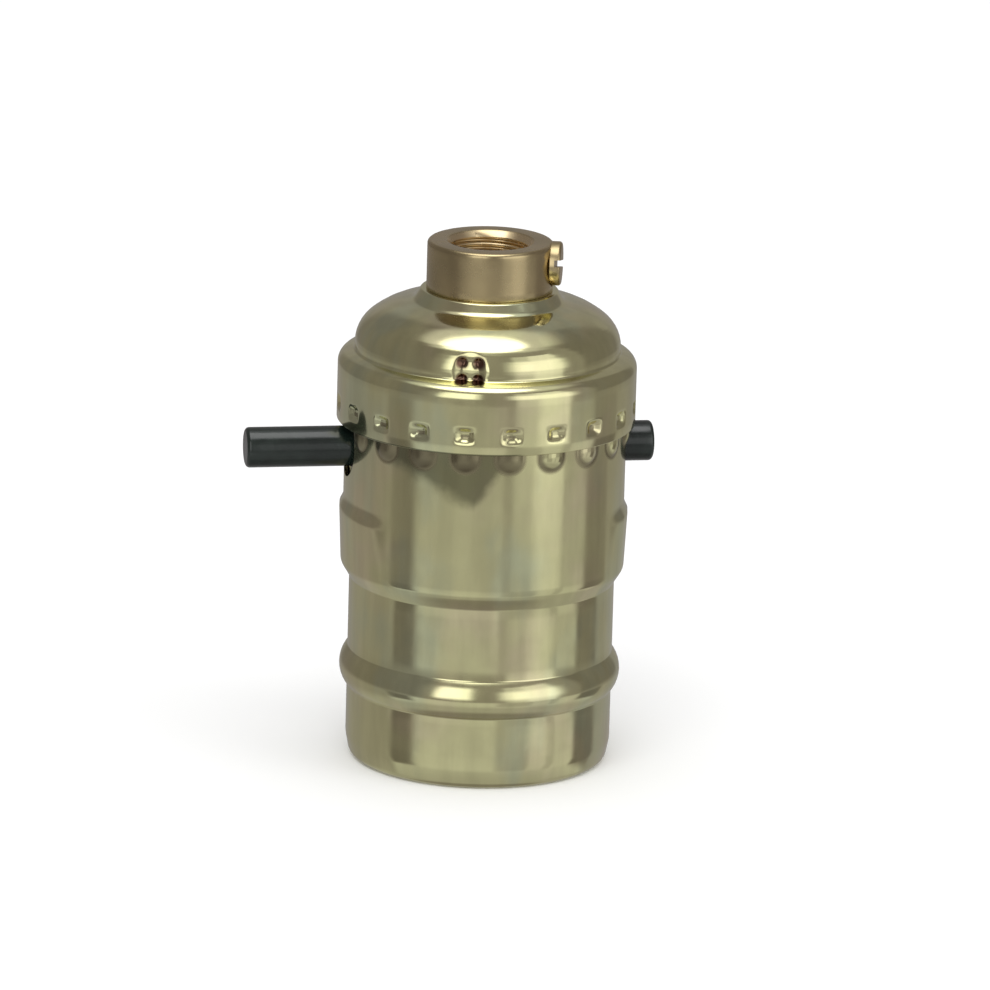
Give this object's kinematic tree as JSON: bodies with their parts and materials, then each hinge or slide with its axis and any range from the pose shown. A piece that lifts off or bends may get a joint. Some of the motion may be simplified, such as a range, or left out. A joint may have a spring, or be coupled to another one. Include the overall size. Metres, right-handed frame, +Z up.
{
  "type": "push-through lamp socket",
  "caption": "Brass-shell lamp socket with a push-through rod switch, a threaded hub with a set screw and a medium screw lampholder.",
  "frame": {"origin": "centre of the shell's rim, in the plane that the socket stands on", "axes": "+Z up the socket's axis from the lamp mouth to the hub; the push rod slides along X, and +X is the way it moves from the state in the picture"},
  "size_m": [0.0484, 0.035, 0.0627],
  "materials": {
    "brass_sheet": "bright lacquered, drawn",
    "turned_brass": "satin, turned",
    "contact_brass": "plain, stamped",
    "nickel_plate": "nickel plated",
    "silver_contact": "plain silver",
    "lampholder_metal": "rolled, plain",
    "fibre": "vulcanised fibre board, matt",
    "brown_moulding": "phenolic moulding",
    "black_moulding": "phenolic rod, polished by use"
  },
  "bodies": {
    "socket": {"cap": "brass_sheet", "hub": "turned_brass", "hub_set_screw": "turned_brass", "cap_liner": "fibre", "shell": "brass_sheet", "shell_liner": "fibre", "switch_body": "brown_moulding", "switch_cover": "fibre", "contact_barrier": "fibre", "switch_base": "brown_moulding", "body_rivets": "turned_brass", "detent_spring": "contact_brass", "detent_rivet": "contact_brass", "neutral_terminal": "nickel_plate", "neutral_screw": "nickel_plate", "hot_terminal": "contact_brass", "hot_screw": "contact_brass", "load_contact": "contact_brass", "contact_buttons": "silver_contact", "screw_shell": "lampholder_metal", "shell_rivets": "contact_brass", "centre_contact": "contact_brass", "centre_rivet": "contact_brass"},
    "switch_rod": {"push_rod": "black_moulding", "contact_wiper": "contact_brass", "wiper_pin": "contact_brass"}
  },
  "joints": [
    {"name": "rod_push", "type": "slide", "parent": "socket", "child": "switch_rod", "axis": [1, 0, 0], "range_m": [0, 0.0086]}
  ]
}
